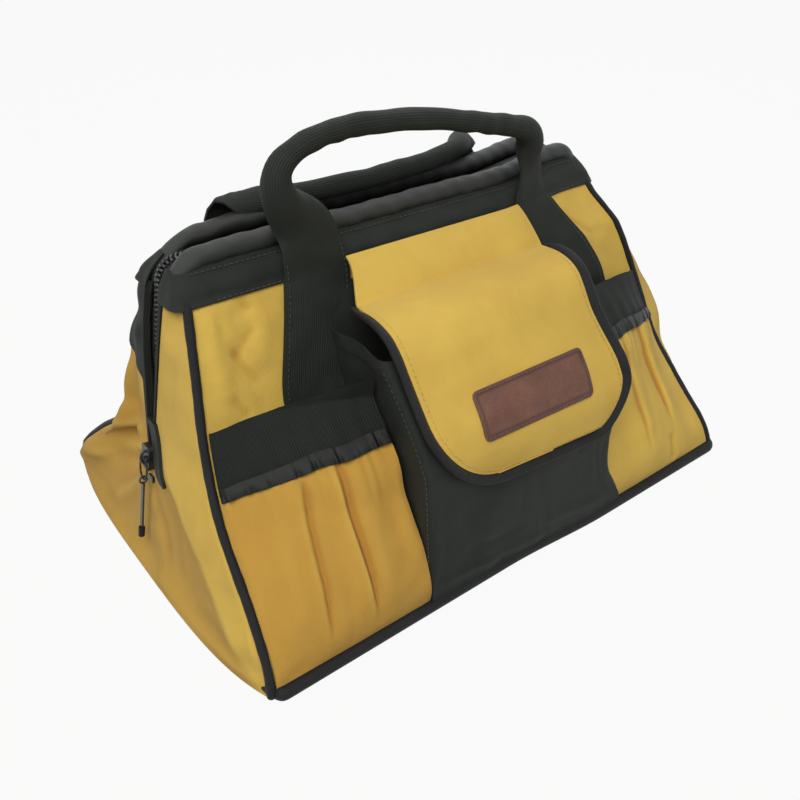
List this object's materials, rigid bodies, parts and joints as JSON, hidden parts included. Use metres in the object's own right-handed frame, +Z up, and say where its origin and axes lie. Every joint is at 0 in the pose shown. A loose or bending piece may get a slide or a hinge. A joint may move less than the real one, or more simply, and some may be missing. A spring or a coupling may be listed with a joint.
{
  "type": "tool bag",
  "caption": "Zip-top tool bag of woven cloth with a steel-framed mouth, webbing handles, a flap pocket and open side pockets.",
  "frame": {"origin": "centre of the bag's underside, on the surface it stands on", "axes": "+X along the bag to its right end, -Y to the front with the flap pocket, +Z up"},
  "size_m": [0.4259, 0.2983, 0.2782],
  "materials": {
    "yellow_cloth": "woven yellow cloth, coated inside",
    "black_cloth": "plain woven black nylon",
    "black_webbing": "ribbed black webbing",
    "black_piping": "smooth black plastic piping cord",
    "brown_leather": "brown leather patch, bare",
    "steel": "plated steel",
    "black_metal": "black lacquered metal",
    "brown_board": "brown fibre board"
  },
  "bodies": {
    "base": {"base_cloth": "black_cloth", "base_board": "brown_board", "base_piping": "black_piping", "left_gusset": "yellow_cloth", "right_gusset": "yellow_cloth", "left_zip_stop": "black_metal", "right_zip_stop": "black_metal"},
    "front_wall": {"front_panel": "yellow_cloth", "front_yoke": "yellow_cloth", "front_facing": "black_cloth", "front_sleeve": "black_cloth", "front_frame_rod": "steel", "front_zip_row": "black_cloth", "front_left_piping": "black_piping", "front_right_piping": "black_piping", "front_left_strap": "black_webbing", "front_right_strap": "black_webbing", "front_left_wing": "yellow_cloth", "front_right_wing": "yellow_cloth", "left_pocket": "yellow_cloth", "left_pocket_band": "black_webbing", "right_pocket": "yellow_cloth", "right_pocket_band": "black_webbing", "centre_pocket": "black_cloth", "pocket_hook_strip": "black_cloth"},
    "rear_wall": {"rear_panel": "yellow_cloth", "rear_facing": "black_cloth", "rear_sleeve": "black_cloth", "rear_frame_rod": "steel", "rear_zip_row": "black_cloth", "rear_left_piping": "black_piping", "rear_right_piping": "black_piping", "rear_left_strap": "black_webbing", "rear_right_strap": "black_webbing", "rear_left_wing": "yellow_cloth", "rear_right_wing": "yellow_cloth"},
    "flap": {"flap": "yellow_cloth", "flap_binding": "black_piping", "leather_patch": "brown_leather", "flap_loop_strip": "black_cloth"},
    "front_handle": {"front_handle": "black_webbing"},
    "rear_handle": {"rear_handle": "black_webbing"},
    "slider": {"zip_slider": "black_metal"},
    "pull_ring": {"pull_ring": "black_metal"},
    "pull_tab": {"pull_tab": "steel", "pull_tip": "black_piping"}
  },
  "joints": [
    {"name": "front_wall_swing", "type": "hinge", "parent": "base", "child": "front_wall", "pos_m": [0, -0.15, 0.0063], "axis": [1, 0, 0], "range_deg": [0, 15]},
    {"name": "rear_wall_swing", "type": "hinge", "parent": "base", "child": "rear_wall", "pos_m": [0, 0.15, 0.0063], "axis": [-1, 0, 0], "range_deg": [0, 15]},
    {"name": "flap_lift", "type": "hinge", "parent": "front_wall", "child": "flap", "pos_m": [0, -0.0595, 0.1757], "axis": [-1, 0, 0], "range_deg": [0, 120]},
    {"name": "front_handle_swing", "type": "hinge", "parent": "front_wall", "child": "front_handle", "pos_m": [0, -0.03368, 0.2178], "axis": [-1, 0, 0], "range_deg": [-110, 30]},
    {"name": "rear_handle_swing", "type": "hinge", "parent": "rear_wall", "child": "rear_handle", "pos_m": [0, 0.03368, 0.2178], "axis": [-1, 0, 0], "range_deg": [0, 100]},
    {"name": "slider_run", "type": "slide", "parent": "base", "child": "slider", "axis": [0.1546, 0, 0.988], "range_m": [0, 0.095]},
    {"name": "pull_ring_swing", "type": "hinge", "parent": "slider", "child": "pull_ring", "pos_m": [-0.19861, 0, 0.0854], "axis": [0, 1, 0], "range_deg": [0, 140]},
    {"name": "pull_tab_swing", "type": "hinge", "parent": "pull_ring", "child": "pull_tab", "pos_m": [-0.20189, 0, 0.06934], "axis": [0, 1, 0], "range_deg": [0, 40]}
  ]
}
